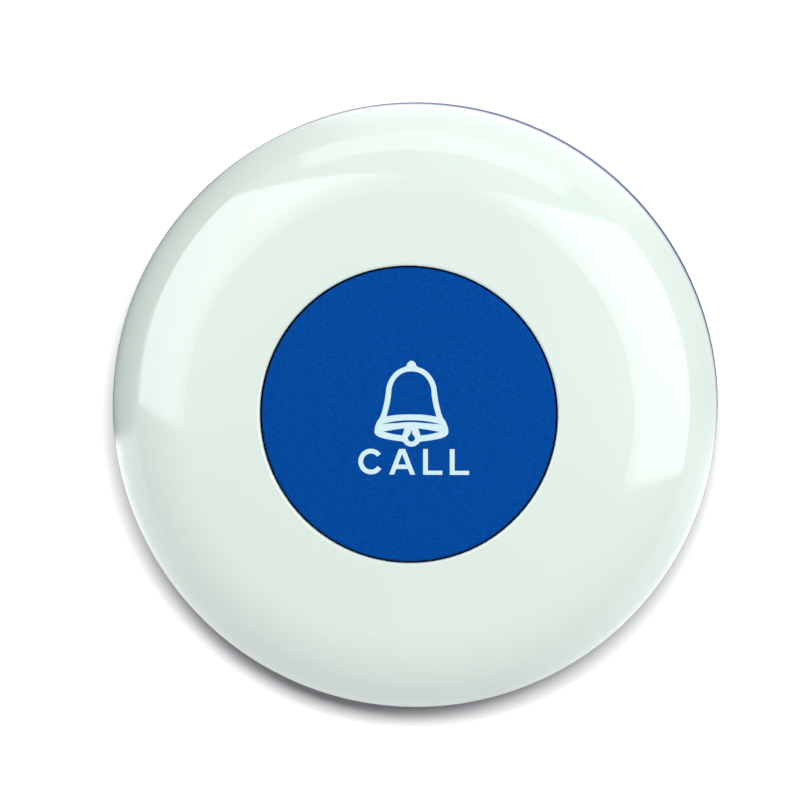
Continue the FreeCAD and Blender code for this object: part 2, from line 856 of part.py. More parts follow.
def make_cell_clip():
    """The folded spring clip that carries the coin cell and takes its current to the board."""
    body = new_body("cell_clip")
    metal = cell("clip_thickness")
    inside = cell("cell_radius") + cell("clip_side_gap")
    outside = inside + metal
    foot = outside + cell("clip_foot")
    fold = [
        (-foot, board_z - metal),
        (-outside, board_z - metal),
        (-outside, clip_z),
        (outside, clip_z),
        (outside, board_z - metal),
        (foot, board_z - metal),
        (foot, board_z),
        (inside, board_z),
        (inside, cell_z),
        (-inside, cell_z),
        (-inside, board_z),
        (-foot, board_z),
    ]
    fold_sketch = outline(new_sketch(body, "fold_outline", "XZ"), fold)
    pad(body, "folded_strip", fold_sketch, cell("clip_width"), both_ways=True)
    slot_x = (cell("finger_width") + cell("finger_slot_width")) / 2
    slot_sketch = centred_rectangle(
        new_sketch(body, "slot_outline", "XY", cell_z),
        size(0), slot_x, cell("finger_slot_length"), cell("finger_slot_width"),
    )
    slot = pocket(body, "finger_slot", slot_sketch, metal)
    mirror(body, "two_finger_slots", [slot], "XZ")
    return body


def make_switch_housing():
    """The push switch's moulded housing, with the well of its dome and four rivet stakes."""
    body = new_body("switch_housing")
    half = cell("switch_width") / 2
    bevelled = half - cell("switch_bevel")
    block = [
        (bevelled, half), (-bevelled, half), (-half, bevelled), (-half, -bevelled),
        (-bevelled, -half), (bevelled, -half), (half, -bevelled), (half, bevelled),
    ]
    block_sketch = outline(new_sketch(body, "block_outline", "XY", board_top_z), block)
    pad(body, "block", block_sketch, cell("switch_height"))
    well = circle(
        new_sketch(body, "well_outline", "XY", plate_z), 0, 0, cell("switch_well_radius")
    )
    pocket(body, "dome_well", well, plate_z - well_floor_z)
    stakes = new_sketch(body, "stake_outline", "XY", plate_z)
    for x, y in stake_places():
        circle(stakes, x, y, cell("stake_radius"))
    pad(body, "stakes", stakes, cell("plate_thickness") + cell("stake_proud"))
    return body


def stake_places():
    half = cell("stake_spacing") / 2
    return [(half, half), (-half, half), (-half, -half), (half, -half)]


def make_switch_plate():
    """The stamped plate that the stakes rivet down over the switch's stem."""
    body = new_body("switch_plate")
    sketch = new_sketch(body, "plate_outline", "XY", plate_z)
    centred_rectangle(sketch, size(0), size(0), cell("plate_width"), cell("plate_width"))
    circle(sketch, 0, 0, cell("stem_radius") + cell("stem_gap"))
    for x, y in stake_places():
        circle(sketch, x, y, cell("stake_radius"))
    pad(body, "plate", sketch, cell("plate_thickness"))
    return body


def make_switch_dome():
    """The thin snap dome that makes the click and lifts the stem again."""
    body = new_body("switch_dome")
    radius, metal = cell("dome_radius"), cell("dome_thickness")
    rise = dome_height - metal
    under = radius - metal
    outer = (radius * radius + dome_height * dome_height) / (dome_height * 2)
    inner = (under * under + rise * rise) / (rise * 2)
    profile = [
        (0, dome_top_z, outer, "left"),
        (0, dome_top_z - metal),
        (under, well_floor_z, inner, "right"),
        (radius, well_floor_z),
    ]
    revolve(body, "dome", outline(new_sketch(body, "dome_outline", "XZ"), profile))
    return body


def make_switch_stem():
    """The moving stem: its flange is held under the plate and its nub rests on the dome."""
    body = new_body("switch_stem")
    profile = [
        (0, stem_top_z),
        (0, nub_z),
        (cell("nub_radius"), nub_z),
        (cell("nub_radius"), flange_z),
        (cell("flange_radius"), flange_z),
        (cell("flange_radius"), flange_top_z),
        (cell("stem_radius"), flange_top_z),
        (cell("stem_radius"), stem_top_z),
    ]
    revolve(body, "stem", outline(new_sketch(body, "stem_outline", "XZ"), profile))
    return body


def make_switch_leads():
    """The switch's four bent leads, soldered flat on the board."""
    body = new_body("switch_leads")
    body.AllowCompound = True
    side = cell("switch_width") / 2
    metal = cell("lead_thickness")
    bend = [
        (side, board_top_z),
        (side + cell("lead_foot"), board_top_z),
        (side + cell("lead_foot"), board_top_z + metal),
        (side + metal, board_top_z + metal),
        (side + metal, board_top_z + cell("lead_rise")),
        (side, board_top_z + cell("lead_rise")),
    ]
    middle = cell("lead_spacing") / 2
    offset = middle - cell("lead_width") / 2
    sketch = outline(new_sketch(body, "lead_outline", "XZ", offset), bend)
    lead = pad(body, "lead", sketch, cell("lead_width"))
    multi = body.newObject("PartDesign::MultiTransform", "four_leads")
    multi.Originals = [lead]
    body.Tip = multi
    steps = []
    for name, plane in (("lengthwise", "XZ"), ("crosswise", "YZ")):
        step = body.newObject("PartDesign::Mirrored", name)
        step.MirrorPlane = (origin_feature(body, plane + "_Plane"), [""])
        steps.append(step)
    multi.Transformations = steps
    body.Tip = multi
    doc.recompute()
    return body


def box_body(label, x, y, low_z, length, width, height):
    """A body that starts as a plain block standing on low_z."""
    body = new_body(label)
    sketch = centred_rectangle(
        new_sketch(body, "block_outline", "XY", low_z), x, y, length, width
    )
    pad(body, "block", sketch, height)
    return body


def make_chip():
    """The encoder's moulded package, a small outline one with eight leads."""
    return box_body(
        "encoder_chip", -cell("chip_x"), cell("chip_y"), board_top_z + cell("chip_lift"),
        cell("chip_length"), cell("chip_width"), cell("chip_height"),
    )


def make_chip_leads():
    """The encoder's eight gull wing leads, one row on each side of the package."""
    body = new_body("encoder_leads")
    body.AllowCompound = True
    metal = cell("chip_lead_thickness")
    level = board_top_z + cell("chip_lead_level")
    half = cell("chip_lead_width") / 2
    first_x = -cell("chip_x") - cell("chip_pitch") * (cell("chip_lead_count") - 1) / 2
    rows = []
    for name, side in (("front", size(-1)), ("back", size(1))):
        edge = cell("chip_y") + side * cell("chip_width") / 2
        bend = edge + side * (cell("chip_lead_reach") - cell("chip_lead_foot"))
        tip = edge + side * cell("chip_lead_reach")
        wing = [
            (edge, level),
            (bend, level),
            (bend, board_top_z + metal),
            (tip, board_top_z + metal),
            (tip, board_top_z),
            (bend - side * metal, board_top_z),
            (bend - side * metal, level - metal),
            (edge, level - metal),
        ]
        sketch = outline(new_sketch(body, name + "_outline", "YZ", first_x - half), wing)
        rows.append(pad(body, name + "_lead", sketch, cell("chip_lead_width")))
    length = cell("chip_pitch") * (cell("chip_lead_count") - 1)
    along(body, "lead_rows", rows, "X", cell("chip_lead_count"), length)
    return body


def make_resonator():
    """The radio's surface wave resonator: a ceramic tray with a metal lid."""
    x, y, width = cell("resonator_x"), cell("resonator_y"), cell("resonator_width")
    body = box_body(
        "saw_resonator", x, y, board_top_z, width, width, cell("resonator_base")
    )
    lid_width = width - cell("resonator_lid_inset") * 2
    lid_sketch = centred_rectangle(
        new_sketch(body, "lid_outline", "XY", board_top_z + cell("resonator_base")),
        x, y, lid_width, lid_width,
    )
    pad(body, "lid", lid_sketch, cell("resonator_lid"))
    return body


def make_transistor():
    """The radio's output transistor, a three legged package."""
    x, y = cell("transistor_x"), -cell("transistor_y")
    body = box_body(
        "rf_transistor", x, y, board_top_z,
        cell("transistor_length"), cell("transistor_width"), cell("transistor_height"),
    )
    half_width = cell("transistor_width") / 2
    tip = half_width + cell("transistor_leg_reach")
    half_leg = cell("transistor_leg_width") / 2
    half_space = cell("transistor_leg_spacing") / 2
    legs = new_sketch(body, "leg_outline", "XY", board_top_z)
    for leg_x, low_y, high_y in (
        (x, y + half_width, y + tip),
        (x - half_space, y - tip, y - half_width),
        (x + half_space, y - tip, y - half_width),
    ):
        rectangle(legs, leg_x - half_leg, low_y, leg_x + half_leg, high_y)
    pad(body, "legs", legs, cell("transistor_leg_height"))
    return body


def make_lamp():
    """The signal lamp's package, with the well for its lens."""
    x, y = lamp_x, cell("lamp_y")
    body = box_body(
        "lamp_package", x, y, board_top_z,
        cell("lamp_length"), cell("lamp_width"), cell("lamp_height"),
    )
    top = board_top_z + cell("lamp_height")
    well = circle(new_sketch(body, "well_outline", "XY", top), x, y, cell("lamp_well_radius"))
    pocket(body, "lens_well", well, cell("lamp_well_depth"))
    return body


def make_lens():
    """The clear resin that fills the lamp's well."""
    lens = doc.addObject("Part::Cylinder", "lamp_lens")
    lens_z = board_top_z + cell("lamp_height") - cell("lamp_well_depth")
    lens.setExpression("Radius", cell("lamp_well_radius").formula)
    lens.setExpression("Height", cell("lamp_well_depth").formula)
    lens.setExpression("Placement.Base.x", lamp_x.formula)
    lens.setExpression("Placement.Base.y", cell("lamp_y").formula)
    lens.setExpression("Placement.Base.z", lens_z.formula)
    return lens


def make_passives(label, x, y, height):
    """A row of chip resistors or capacitors, one solid each."""
    body = box_body(
        label, x, y, board_top_z, cell("passive_length"), cell("passive_width"), height
    )
    body.AllowCompound = True
    length = cell("passive_pitch") * (cell("passive_count") - 1)
    row = along(body, "row", [body.Tip], "Y", cell("passive_count"), length)
    row.Reversed = True
    doc.recompute()
    return body


def make_antenna():
    """The loop of copper wire along the board's edge that sends the call, bent down at both ends."""
    body = new_body("antenna_wire")
    wire, ring_radius = cell("antenna_wire_radius"), board_radius - cell("antenna_inset")
    bend_radius, half_angle = cell("antenna_bend"), cell("antenna_angle") / 2
    wire_z = board_top_z + cell("antenna_lift")
    bend_z = wire_z - bend_radius
    ring = circle(new_sketch(body, "wire_outline", "XZ"), ring_radius, wire_z, wire)
    revolve(body, "loop", ring, angle=cell("antenna_angle"))
    for name, side in (("left", size(1)), ("right", size(-1))):
        end = new_sketch(body, name + "_end", "XZ", turn=half_angle * side)
        circle(end, ring_radius, wire_z, wire)
        line = Part.LineSegment(
            FreeCAD.Vector(ring_radius.value - 1, bend_z.value, 0),
            FreeCAD.Vector(ring_radius.value, bend_z.value, 0),
        )
        pivot = end.addGeometry(line, True)
        pin(end, pivot, 2, ring_radius, bend_z)
        pin(end, pivot, 1, ring_radius - TRIM, bend_z)
        bend = add_feature(body, "Revolution", name + "_bend", end)
        bend.ReferenceAxis = (end, ["Axis0"])
        bend.Angle = 90
        bend.Reversed = side.value > 0
        leg_x = ring_radius * cosine(half_angle) - bend_radius * sine(half_angle)
        leg_y = (ring_radius * sine(half_angle) + bend_radius * cosine(half_angle)) * side
        leg = circle(new_sketch(body, name + "_foot", "XY", board_top_z), leg_x, leg_y, wire)
        pad(body, name + "_leg", leg, bend_z - board_top_z)
    return body


def build_all():
    return [
        make_cover(),
        make_base(),
        make_cap(),
        make_foam_pad(),
        make_seal(),
        make_case_screws(),
        make_board_screws(),
        make_board(),
        make_cell(),
        make_cell_contact(),
        make_cell_clip(),
        make_switch_housing(),
        make_switch_plate(),
        make_switch_dome(),
        make_switch_stem(),
        make_switch_leads(),
        make_chip(),
        make_chip_leads(),
        make_resonator(),
        make_transistor(),
        make_lamp(),
        make_lens(),
        make_passives(
            "chip_resistors", -cell("resistor_x"), -cell("resistor_y"), cell("resistor_height")
        ),
        make_passives(
            "chip_capacitors", cell("capacitor_x"), -cell("capacitor_y"),
            cell("capacitor_height"),
        ),
        make_antenna(),
    ]


pieces = build_all()
doc.recompute()
for item in doc.Objects:
    if "Invalid" in item.State or "Error" in item.State:
        raise RuntimeError(f"{item.Name} could not be computed: {item.State}")
for piece in pieces:
    if piece.Shape.isNull() or not piece.Shape.isValid():
        raise RuntimeError(f"{piece.Label} has no sound shape")
os.makedirs("parts", exist_ok=True)
for piece in pieces:
    piece.Shape.exportStep(os.path.join("parts", piece.Label + ".step"))
    box = piece.Shape.BoundBox
    print(
        f"{piece.Label:16s} solids {len(piece.Shape.Solids)} volume {piece.Shape.Volume:9.2f}"
        f" x {box.XMin:7.2f} {box.XMax:7.2f} y {box.YMin:7.2f} {box.YMax:7.2f}"
        f" z {box.ZMin:6.2f} {box.ZMax:6.2f}"
    )
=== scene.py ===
"""A round wireless call button: mint white cover, blue push cap with a printed bell, blue base.

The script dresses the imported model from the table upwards, in the order in which the real button
is put together. Lengths named with _MM are millimetres; the scene itself is in metres.
"""

import math

import bmesh
import bpy
from mathutils import Matrix, Vector


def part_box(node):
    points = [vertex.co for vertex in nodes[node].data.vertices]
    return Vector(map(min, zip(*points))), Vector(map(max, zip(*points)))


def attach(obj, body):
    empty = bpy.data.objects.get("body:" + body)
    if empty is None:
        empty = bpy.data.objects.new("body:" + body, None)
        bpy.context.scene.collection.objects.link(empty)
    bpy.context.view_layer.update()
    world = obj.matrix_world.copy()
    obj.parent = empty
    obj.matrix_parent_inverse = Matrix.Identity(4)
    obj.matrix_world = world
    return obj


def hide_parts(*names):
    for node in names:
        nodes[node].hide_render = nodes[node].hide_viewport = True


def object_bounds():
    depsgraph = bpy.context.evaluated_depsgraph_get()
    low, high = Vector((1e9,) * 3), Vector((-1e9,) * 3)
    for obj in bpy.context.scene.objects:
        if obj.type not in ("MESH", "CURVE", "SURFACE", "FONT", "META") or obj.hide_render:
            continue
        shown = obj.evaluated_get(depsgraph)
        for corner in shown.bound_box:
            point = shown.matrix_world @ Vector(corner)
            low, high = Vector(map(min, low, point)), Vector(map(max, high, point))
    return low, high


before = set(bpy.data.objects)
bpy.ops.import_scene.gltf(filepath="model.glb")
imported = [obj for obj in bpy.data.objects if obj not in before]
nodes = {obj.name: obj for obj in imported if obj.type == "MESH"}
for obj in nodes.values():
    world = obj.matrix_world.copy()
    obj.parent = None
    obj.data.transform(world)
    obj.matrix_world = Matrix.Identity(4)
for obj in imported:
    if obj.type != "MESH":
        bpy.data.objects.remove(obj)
cad_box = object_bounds()


# Adhesive pad: a die-cut disc of white closed-cell polyethylene foam in the base's recess, sticky
# on both faces, with the paper liner still on the lower one. The knife leaves its side drawn in a
# little, and the cut opens the cells there.

MM = 0.001
FOAM_COLOUR = "#E9E7E0"
LINER_COLOUR = "#EADFC2"
FOAM_CELL_MM = 0.35
FOAM_WAIST_MM = 0.12  # how far the cut side is drawn in
FOAM_ROUND_MM = 0.15
FOAM_SIDE_STEPS = 8
LINER_MM = 0.08
LINER_INSET_MM = 0.02


def linear(hex_colour):
    """Turns an sRGB hex colour into the linear RGBA that a socket takes."""
    channels = [int(hex_colour[i : i + 2], 16) / 255 for i in (1, 3, 5)]
    return [c / 12.92 if c <= 0.04045 else ((c + 0.055) / 1.055) ** 2.4 for c in channels] + [1]


def add_node(tree, kind, inputs=None, **settings):
    """Adds a node with its settings, and with what goes into it by socket.

    That is a plain value, another node's socket, or a sum such as ("ADD", a, b), which becomes a
    Math node and may hold further sums.
    """
    node = tree.nodes.new(kind)
    for name, value in settings.items():
        setattr(node, name, value)
    for key, value in (inputs or {}).items():
        if isinstance(value, tuple) and isinstance(value[0], str):
            operation, *terms = value
            terms = dict(enumerate(terms))
            value = add_node(tree, "ShaderNodeMath", terms, operation=operation).outputs[0]
        if isinstance(value, bpy.types.NodeSocket):
            tree.links.new(value, node.inputs[key])
        else:
            node.inputs[key].default_value = value
    return node


def new_material(name, colour, values, *patterns):
    """Makes a material from its plain values and from the patterns that its making left in it.

    Each pattern is a dict. size_mm is the width of its blobs, or cell_mm that of its cells, in the
    piece's own coordinates. colours, roughness and depth_mm say what it moves, and how far.
    """
    material = bpy.data.materials.new(name)
    material.use_nodes = True
    tree = material.node_tree
    shader = tree.nodes["Principled BSDF"]
    shader.inputs["Base Color"].default_value = linear(colour)
    for socket, value in values.items():
        shader.inputs[socket].default_value = value
    place = add_node(tree, "ShaderNodeTexCoord").outputs["Object"]
    for pattern in patterns:
        inputs = {"Vector": place, "Scale": pattern.get("stretch", (1, 1, 1))}
        spot = add_node(tree, "ShaderNodeMapping", inputs).outputs[0]
        if "cell_mm" in pattern:
            inputs = {"Vector": spot, "Scale": 1 / (pattern["cell_mm"] * MM)}
            level = add_node(tree, "ShaderNodeTexVoronoi", inputs).outputs["Distance"]
        else:
            inputs = {"Vector": spot, "Scale": 1 / (pattern["size_mm"] * MM)}
            inputs["Detail"] = pattern.get("detail", 3.0)
            level = add_node(tree, "ShaderNodeTexNoise", inputs).outputs["Fac"]
        if "colours" in pattern:
            first, second = pattern["colours"]
            inputs = {0: level, 6: linear(first), 7: linear(second)}
            mixed = add_node(tree, "ShaderNodeMix", inputs, data_type="RGBA").outputs[2]
            tree.links.new(mixed, shader.inputs["Base Color"])
        if "roughness" in pattern:
            lowest, highest = pattern["roughness"]
            inputs = {"Value": level, "From Min": 0.3, "From Max": 0.7}  # most noise lies here
            inputs.update({"To Min": lowest, "To Max": highest})
            spread = add_node(tree, "ShaderNodeMapRange", inputs).outputs[0]
            tree.links.new(spread, shader.inputs["Roughness"])
        if "depth_mm" in pattern:
            inputs = {"Height": level, "Distance": pattern["depth_mm"] * MM}
            raised = add_node(tree, "ShaderNodeBump", inputs).outputs[0]
            tree.links.new(raised, shader.inputs["Normal"])
    return material


def new_piece(name, mesh, material, body):
    """Makes a mesh an object that rides on a body of the frame."""
    piece = bpy.data.objects.new(name, mesh)
    bpy.context.scene.collection.objects.link(piece)
    if material is not None:
        piece.data.materials.clear()
        piece.data.materials.append(material)
    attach(piece, body)
    return piece


def turned(name, profile, segments=192):
    """Turns a closed profile of (radius, height) corners in mm about Z, with its normals out."""
    shape = bmesh.new()
    rings = []
    for step in range(segments):
        angle = 2 * math.pi * step / segments
        across, up = math.cos(angle) * MM, math.sin(angle) * MM
        rings.append([shape.verts.new((r * across, r * up, z * MM)) for r, z in profile])
    count = len(profile)
    for step in range(segments):
        ring, following = rings[step], rings[(step + 1) % segments]
        for i in range(count):
            j = (i + 1) % count
            shape.faces.new((ring[i], following[i], following[j], ring[j]))
    bmesh.ops.remove_doubles(shape, verts=shape.verts, dist=1e-7)
    bmesh.ops.recalc_face_normals(shape, faces=shape.faces)
    mesh = bpy.data.meshes.new(name)
    shape.to_mesh(mesh)
    shape.free()
    mesh.shade_smooth()
    mesh.set_sharp_from_angle(angle=math.radians(40))
    return mesh


# The cut cells make the foam dull, with small pits, and painted shade makes the pits a little
# darker.
foam = new_material(
    "closed cell polyethylene foam, die cut", FOAM_COLOUR, {"Roughness": 0.85},
    {"cell_mm": FOAM_CELL_MM, "colours": ("#DAD7CE", "#F1EFE9"), "depth_mm": 0.12},
)
# The silicone gives the paper a soft sheen, and its fibres show as faint streaks.
liner = new_material(
    "silicone coated kraft paper liner", LINER_COLOUR, {"Roughness": 0.42},
    {"size_mm": 0.8, "detail": 5, "stretch": (1, 6, 1), "colours": ("#E4D7B6", "#EFE6CD")},
    {"size_mm": 0.25, "depth_mm": 0.01},
)

foam_top_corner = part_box("adhesive_pad")[1]
foam_radius = foam_top_corner.x / MM
foam_top = foam_top_corner.z / MM
side = []
for step in range(FOAM_SIDE_STEPS + 1):
    share = step / FOAM_SIDE_STEPS
    height = LINER_MM + FOAM_ROUND_MM + (foam_top - LINER_MM - FOAM_ROUND_MM * 2) * share
    side.append((foam_radius - FOAM_WAIST_MM * math.sin(math.pi * share), height))
disc = turned(
    "foam_disc",
    [(0.0, LINER_MM), (foam_radius - FOAM_ROUND_MM, LINER_MM)]
    + side
    + [(foam_radius - FOAM_ROUND_MM, foam_top), (0.0, foam_top)],
)
foam_disc = new_piece("foam_disc", disc, foam, "housing")
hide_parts("adhesive_pad")
liner_radius = foam_radius - LINER_INSET_MM
paper = turned(
    "foam_liner", [(0.0, 0.0), (liner_radius, 0.0), (liner_radius, LINER_MM), (0.0, LINER_MM)]
)
new_piece("foam_liner", paper, liner, "housing")


# Base: a shallow dish moulded in blue ABS, with the lip, the screw towers and the pad's recess.
# Its outside was polished in the mould, and its flat underside is a little duller from handling.

BASE_COLOUR = "#0B4A9C"


def dress(node, material):
    """Gives a carried-over node its material."""
    nodes[node].data.materials.clear()
    nodes[node].data.materials.append(material)


# Polished plastic that has been touched: a clear gloss with slightly duller patches.
blue_gloss = new_material(
    "moulded gloss ABS, blue", BASE_COLOUR, {"Roughness": 0.22, "IOR": 1.53},
    {"size_mm": 9.0, "colours": ("#0A4796", "#0D4FA4")},
    {"size_mm": 2.5, "detail": 6, "roughness": (0.17, 0.28)},
    {"size_mm": 0.5, "depth_mm": 0.004},
)
dress("base", blue_gloss)


# Seal: a cord of black silicone rubber, moulded as one closed ring. It was stretched over the lip
# and lies in the lip's groove, where the cover's wall squeezes it.

# Rubber takes the fine grain of its mould, which breaks its sheen up.
seal_rubber = new_material(
    "moulded silicone rubber, black", "#1B1B1C", {"Roughness": 0.55},
    {"size_mm": 1.2, "detail": 4, "roughness": (0.45, 0.65)},
    {"size_mm": 0.15, "depth_mm": 0.008},
)
dress("seal_ring", seal_rubber)


# Case screws and board screws: cold-headed pan head screws with a cross recess and a rolled thread.
# The three nickel plated ones pull the base up against the cover, the two zinc plated ones hold the
# circuit board. One node tree makes each set, point up and each driven home to an angle of its own.

HEAD_GRID = (48, 14)  # faces round the axis, and rows from the crown to the underside
SHANK_GRID = (24, 90)
SUNK_SHARE = 0.3  # the shank starts this far inside the head, as a share of the head's height
CLOSING_RATE = 40.0  # the shank's end in the head closes over one fortieth of its length
RIM_RATE = 1.08  # the head's curve reaches the rim early, and the rows past it lie underneath
LAST_ROW = 0.999  # the row past this share closes the underside at the axis
BULGE_POWER = 0.55  # these two powers flatten the head's round crown to a pan
FALL_POWER = 0.7
JOINED_MM = 0.002  # corners closer than this, at the poles and the seam, become one


def screw_tree():
    """Builds the tree. A grid is wrapped round the axis for the shank, and another for the head."""
    tree = bpy.data.node_groups.new("pan head screws", "GeometryNodeTree")
    tree.interface.new_socket("Screws", in_out="OUTPUT", socket_type="NodeSocketGeometry")
    for name in ("Head Radius", "Head Height", "Shank Radius", "Length", "Pitch", "Thread Depth",
                 "Slot Width", "Slot Reach", "Slot Depth", "Ring Radius", "First Angle", "Seat"):
        tree.interface.new_socket(name, in_out="INPUT", socket_type="NodeSocketFloat")
    tree.interface.new_socket("Count", in_out="INPUT", socket_type="NodeSocketInt")
    tree.interface.new_socket("Seed", in_out="INPUT", socket_type="NodeSocketInt")
    tree.interface.new_socket("Material", in_out="INPUT", socket_type="NodeSocketMaterial")
    given = add_node(tree, "NodeGroupInput").outputs

    def wrapped(columns, rows, shape):
        """Wraps a grid round the axis. shape gives radius and height from the two shares."""
        inputs = {"Size X": 1.0, "Size Y": 1.0, "Vertices X": columns + 1, "Vertices Y": rows}
        grid = add_node(tree, "GeometryNodeMeshGrid", inputs).outputs["Mesh"]
        inputs = {"Geometry": grid, "Translation": (0.5, 0.5, 0.0)}  # so that it runs from 0 to 1
        grid = add_node(tree, "GeometryNodeTransform", inputs).outputs[0]
        share = add_node(tree, "GeometryNodeInputPosition").outputs[0]
        share = add_node(tree, "ShaderNodeSeparateXYZ", {0: share}).outputs
        radius, height = shape(share["X"], share["Y"])
        angle = ("MULTIPLY", share["X"], 2 * math.pi)
        corner = {
            "X": ("MULTIPLY", radius, ("COSINE", angle)),
            "Y": ("MULTIPLY", radius, ("SINE", angle)),
            "Z": height,
        }
        corner = add_node(tree, "ShaderNodeCombineXYZ", corner).outputs[0]
        inputs = {"Geometry": grid, "Position": corner}
        moved = add_node(tree, "GeometryNodeSetPosition", inputs).outputs[0]
        inputs = {"Geometry": moved, "Distance": JOINED_MM}
        return add_node(tree, "GeometryNodeMergeByDistance", inputs).outputs[0]

    def shank(round_share, along_share):
        root = ("MULTIPLY", given["Head Height"], -SUNK_SHARE)
        rise = {0: root, 1: ("MULTIPLY", along_share, ("SUBTRACT", given["Length"], root))}
        height = add_node(tree, "ShaderNodeMath", rise, operation="ADD").outputs[0]
        turns = ("SUBTRACT", ("DIVIDE", height, given["Pitch"]), round_share)
        depth = ("MULTIPLY", ("PINGPONG", turns, 0.5), ("MULTIPLY", given["Thread Depth"], 2.0))
        to_tip = ("DIVIDE", ("SUBTRACT", given["Length"], height), given["Shank Radius"])
        from_root = ("MULTIPLY", along_share, CLOSING_RATE)
        taper = ("MINIMUM", ("MINIMUM", to_tip, from_root), 1.0)
        radius = {0: ("SUBTRACT", given["Shank Radius"], depth), 1: taper}
        return add_node(tree, "ShaderNodeMath", radius, operation="MULTIPLY").outputs[0], height

    def head(_, along_share):
        turn = {0: ("MINIMUM", ("MULTIPLY", along_share, RIM_RATE), 1.0), 1: math.pi / 2}
        turn = add_node(tree, "ShaderNodeMath", turn, operation="MULTIPLY").outputs[0]
        closed = ("LESS_THAN", along_share, LAST_ROW)
        bulge = ("MULTIPLY", ("POWER", ("SINE", turn), BULGE_POWER), closed)
        fall = ("POWER", ("MAXIMUM", ("COSINE", turn), 0.0), FALL_POWER)
        height = ("MULTIPLY", ("MULTIPLY", fall, given["Head Height"]), -1.0)
        radius = {0: bulge, 1: given["Head Radius"]}
        return add_node(tree, "ShaderNodeMath", radius, operation="MULTIPLY").outputs[0], height

    cut = wrapped(*HEAD_GRID, head)
    for across, reach in (("X", "Y"), ("Y", "X")):
        size = {across: given["Slot Width"], reach: given["Slot Reach"]}
        size["Z"] = ("MULTIPLY", given["Slot Depth"], 2.0)
        size = add_node(tree, "ShaderNodeCombineXYZ", size).outputs[0]
        bar = add_node(tree, "GeometryNodeMeshCube", {"Size": size}).outputs[0]
        crown = {"Z": ("MULTIPLY", given["Head Height"], -1.0)}
        crown = add_node(tree, "ShaderNodeCombineXYZ", crown).outputs[0]
        inputs = {"Geometry": bar, "Translation": crown}
        bar = add_node(tree, "GeometryNodeTransform", inputs).outputs[0]
        inputs = {"Mesh 1": cut, "Mesh 2": bar}
        cut = add_node(tree, "GeometryNodeMeshBoolean", inputs, operation="DIFFERENCE").outputs[0]
    screw = add_node(tree, "GeometryNodeJoinGeometry")
    tree.links.new(cut, screw.inputs[0])
    tree.links.new(wrapped(*SHANK_GRID, shank), screw.inputs[0])

    spots = add_node(tree, "GeometryNodePoints", {"Count": given["Count"]}).outputs[0]
    index = add_node(tree, "GeometryNodeInputIndex").outputs[0]
    step = ("DIVIDE", 2 * math.pi, given["Count"])
    angle = ("ADD", given["First Angle"], ("MULTIPLY", step, index))
    spot = {
        "X": ("MULTIPLY", ("COSINE", angle), given["Ring Radius"]),
        "Y": ("MULTIPLY", ("SINE", angle), given["Ring Radius"]),
        "Z": given["Seat"],
    }
    spot = add_node(tree, "ShaderNodeCombineXYZ", spot).outputs[0]
    inputs = {"Geometry": spots, "Position": spot}
    spots = add_node(tree, "GeometryNodeSetPosition", inputs).outputs[0]
    inputs = {2: 0.0, 3: 2 * math.pi, "Seed": given["Seed"]}
    driven = add_node(tree, "FunctionNodeRandomValue", inputs, data_type="FLOAT").outputs[1]
    turn = add_node(tree, "ShaderNodeCombineXYZ", {"Z": driven}).outputs[0]
    inputs = {"Points": spots, "Instance": screw.outputs[0], "Rotation": turn}
    placed = add_node(tree, "GeometryNodeInstanceOnPoints", inputs).outputs[0]
    inputs = {"Geometry": placed, "Scale": (MM, MM, MM)}
    placed = add_node(tree, "GeometryNodeTransform", inputs).outputs[0]
    real = add_node(tree, "GeometryNodeRealizeInstances", {"Geometry": placed}).outputs[0]
    inputs = {"Geometry": real, "Material": given["Material"]}
    dressed = add_node(tree, "GeometryNodeSetMaterial", inputs).outputs[0]
    add_node(tree, "NodeGroupOutput", {0: dressed})
    return tree


def made_by(tree, name, sizes):
    """Runs a tree with the sizes given by name, and returns what it makes as a plain mesh."""
    maker = bpy.data.objects.new(name + "_maker", bpy.data.meshes.new(name + "_start"))
    bpy.context.scene.collection.objects.link(maker)
    modifier = maker.modifiers.new("nodes", "NODES")
    modifier.node_group = tree
    for item in tree.interface.items_tree:
        if item.in_out == "INPUT":
            modifier[item.identifier] = sizes[item.name]
    evaluated = maker.evaluated_get(bpy.context.evaluated_depsgraph_get())
    mesh = bpy.data.meshes.new_from_object(evaluated)
    bpy.data.objects.remove(maker)
    shape = bmesh.new()
    shape.from_mesh(mesh)
    bmesh.ops.recalc_face_normals(shape, faces=shape.faces)
    shape.to_mesh(mesh)
    shape.free()
    mesh.name = name
    mesh.shade_smooth()
    mesh.set_sharp_from_angle(angle=math.radians(38))
    return mesh


# Plating over cold-headed steel: a bright metal gloss, a little uneven. The mottle and the dents
# are finer in truth and are drawn this coarse so that they show.
nickel_screw = new_material(
    "nickel plated steel, cold headed", "#C9C7C1", {"Roughness": 0.26, "Metallic": 1.0},
    {"size_mm": 0.4, "detail": 5, "roughness": (0.2, 0.36)},
    {"size_mm": 0.2, "depth_mm": 0.006},
)
# Zinc is bluer and duller than nickel.
zinc_screw = new_material(
    "zinc plated steel, cold headed", "#B9BBBD", {"Roughness": 0.34, "Metallic": 1.0},
    {"size_mm": 0.3, "detail": 5, "roughness": (0.28, 0.44)},
    {"size_mm": 0.2, "depth_mm": 0.006},
)

